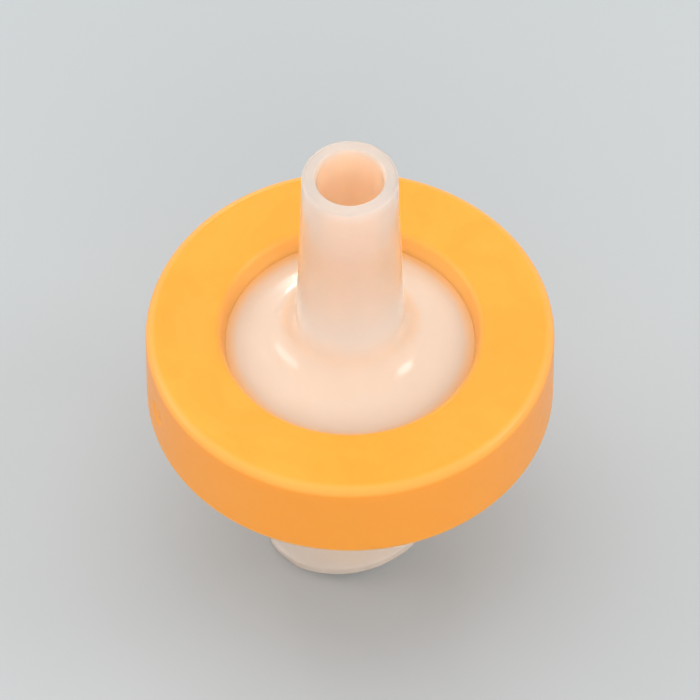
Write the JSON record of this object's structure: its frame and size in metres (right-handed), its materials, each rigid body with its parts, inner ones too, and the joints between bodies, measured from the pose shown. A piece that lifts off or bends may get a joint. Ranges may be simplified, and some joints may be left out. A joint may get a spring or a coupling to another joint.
{
  "type": "syringe filter",
  "caption": "Overmoulded syringe filter with a threaded female Luer-lock inlet, a male Luer slip outlet and a coloured ring round a clamped membrane.",
  "frame": {"origin": "centre of the inlet hub's flat mouth, which the filter stands on", "axes": "+Z along the flow axis from the threaded inlet to the outlet tip; +X and +Y in the plane of the ring, +X through the point where one thread start leaves the mouth"},
  "size_m": [0.0172, 0.0172, 0.0229],
  "materials": {
    "natural_pp": "natural translucent polypropylene, semi-gloss",
    "orange_pp": "orange pigmented polypropylene, satin",
    "membrane_white": "white microporous membrane, matt"
  },
  "bodies": {
    "root": {"inlet_housing": "natural_pp", "outlet_housing": "natural_pp", "membrane": "membrane_white", "outer_ring": "orange_pp"}
  },
  "joints": []
}
